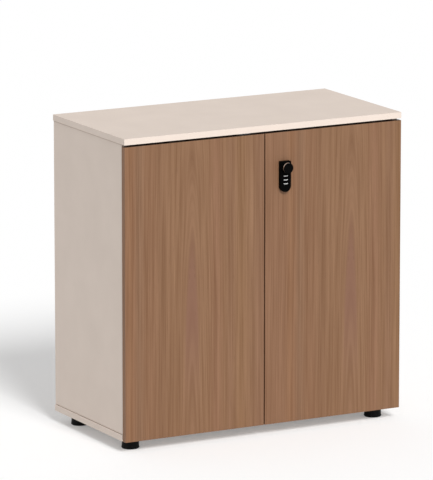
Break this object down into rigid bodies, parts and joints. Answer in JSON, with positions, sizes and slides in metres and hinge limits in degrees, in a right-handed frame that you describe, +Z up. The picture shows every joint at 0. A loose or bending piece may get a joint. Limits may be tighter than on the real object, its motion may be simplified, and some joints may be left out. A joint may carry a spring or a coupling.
{
  "type": "office storage cabinet",
  "caption": "Low two-door office storage cabinet with a beige carcass, walnut-grain doors, an inside shelf, a combination lock and black levelling feet.",
  "frame": {"origin": "under the middle of the whole object, at floor level", "axes": "+Z up, doors face -Y, +X to the right seen from the front"},
  "size_m": [0.8, 0.421, 0.808],
  "materials": {
    "beige_melamine": "melamine-faced board, fine matt texture",
    "walnut_laminate": "walnut-grain laminate on board, matt",
    "black_lacquer": "black powder-coated zinc alloy",
    "black_polymer": "moulded black plastic",
    "dial_polymer": "moulded light grey plastic",
    "nickel_steel": "nickel-plated pressed steel",
    "zinc_steel": "zinc-plated steel",
    "beech_dowel": "fluted beech",
    "clear_silicone": "translucent soft silicone"
  },
  "bodies": {
    "carcass": {"top_panel": "beige_melamine", "bottom_panel": "beige_melamine", "left_side_panel": "beige_melamine", "right_side_panel": "beige_melamine", "back_panel": "beige_melamine", "shelf": "beige_melamine", "shelf_pins": "nickel_steel", "cam_discs": "zinc_steel", "cam_bolts": "zinc_steel", "alignment_dowels": "beech_dowel", "door_bumpers": "clear_silicone", "foot_sockets": "zinc_steel", "left_hinge_plates": "nickel_steel", "right_hinge_plates": "nickel_steel", "left_hinge_arms": "nickel_steel", "right_hinge_arms": "nickel_steel", "hinge_plate_screws": "zinc_steel", "hinge_arm_screws": "zinc_steel", "bolt_keeper": "zinc_steel", "bolt_keeper_screws": "zinc_steel"},
    "left_door": {"left_door_panel": "walnut_laminate", "left_hinge_cups": "nickel_steel", "left_hinge_pins": "nickel_steel", "left_cup_screws": "zinc_steel", "lock_strike": "zinc_steel", "lock_strike_screws": "zinc_steel", "slide_bolt_case": "zinc_steel", "slide_bolt_screws": "zinc_steel"},
    "slide_bolt": {"slide_bolt_rod": "zinc_steel"},
    "right_door": {"right_door_panel": "walnut_laminate", "right_hinge_cups": "nickel_steel", "right_hinge_pins": "nickel_steel", "right_cup_screws": "zinc_steel", "lock_housing": "black_lacquer", "lock_back_plate": "zinc_steel", "lock_back_screws": "zinc_steel", "dial_axle": "zinc_steel"},
    "lock_knob": {"lock_knob": "black_lacquer", "lock_spindle": "zinc_steel", "lock_cam": "zinc_steel", "lock_cam_screw": "zinc_steel"},
    "lock_dial_1": {"lock_dial_1": "dial_polymer"},
    "lock_dial_2": {"lock_dial_2": "dial_polymer"},
    "lock_dial_3": {"lock_dial_3": "dial_polymer"},
    "front_left_foot": {"front_left_foot": "black_polymer", "front_left_foot_stem": "zinc_steel"},
    "front_right_foot": {"front_right_foot": "black_polymer", "front_right_foot_stem": "zinc_steel"},
    "rear_left_foot": {"rear_left_foot": "black_polymer", "rear_left_foot_stem": "zinc_steel"},
    "rear_right_foot": {"rear_right_foot": "black_polymer", "rear_right_foot_stem": "zinc_steel"}
  },
  "joints": [
    {"name": "left_door_swing", "type": "hinge", "parent": "carcass", "child": "left_door", "pos_m": [-0.3921, -0.1783, 0.409], "axis": [0, 0, -1], "range_deg": [0, 95]},
    {"name": "right_door_swing", "type": "hinge", "parent": "carcass", "child": "right_door", "pos_m": [0.3921, -0.1783, 0.409], "axis": [0, 0, 1], "range_deg": [0, 95]},
    {"name": "lock_knob_turn", "type": "hinge", "parent": "right_door", "child": "lock_knob", "pos_m": [0.0555, -0.1855, 0.6968], "axis": [0, 1, 0], "range_deg": [0, 90]},
    {"name": "slide_bolt_shoot", "type": "slide", "parent": "left_door", "child": "slide_bolt", "axis": [0, 0, 1], "range_m": [0, 0.0085]},
    {"name": "lock_dial_1_spin", "type": "hinge", "parent": "right_door", "child": "lock_dial_1", "pos_m": [0.0555, -0.1885, 0.675], "axis": [0, 0, 1], "continuous": true},
    {"name": "lock_dial_2_spin", "type": "hinge", "parent": "right_door", "child": "lock_dial_2", "pos_m": [0.0555, -0.1885, 0.665], "axis": [0, 0, 1], "continuous": true},
    {"name": "lock_dial_3_spin", "type": "hinge", "parent": "right_door", "child": "lock_dial_3", "pos_m": [0.0555, -0.1885, 0.655], "axis": [0, 0, 1], "continuous": true},
    {"name": "front_left_foot_level", "type": "slide", "parent": "carcass", "child": "front_left_foot", "axis": [0, 0, -1], "range_m": [0, 0.01]},
    {"name": "front_right_foot_level", "type": "slide", "parent": "carcass", "child": "front_right_foot", "axis": [0, 0, -1], "range_m": [0, 0.01]},
    {"name": "rear_left_foot_level", "type": "slide", "parent": "carcass", "child": "rear_left_foot", "axis": [0, 0, -1], "range_m": [0, 0.01]},
    {"name": "rear_right_foot_level", "type": "slide", "parent": "carcass", "child": "rear_right_foot", "axis": [0, 0, -1], "range_m": [0, 0.01]}
  ]
}
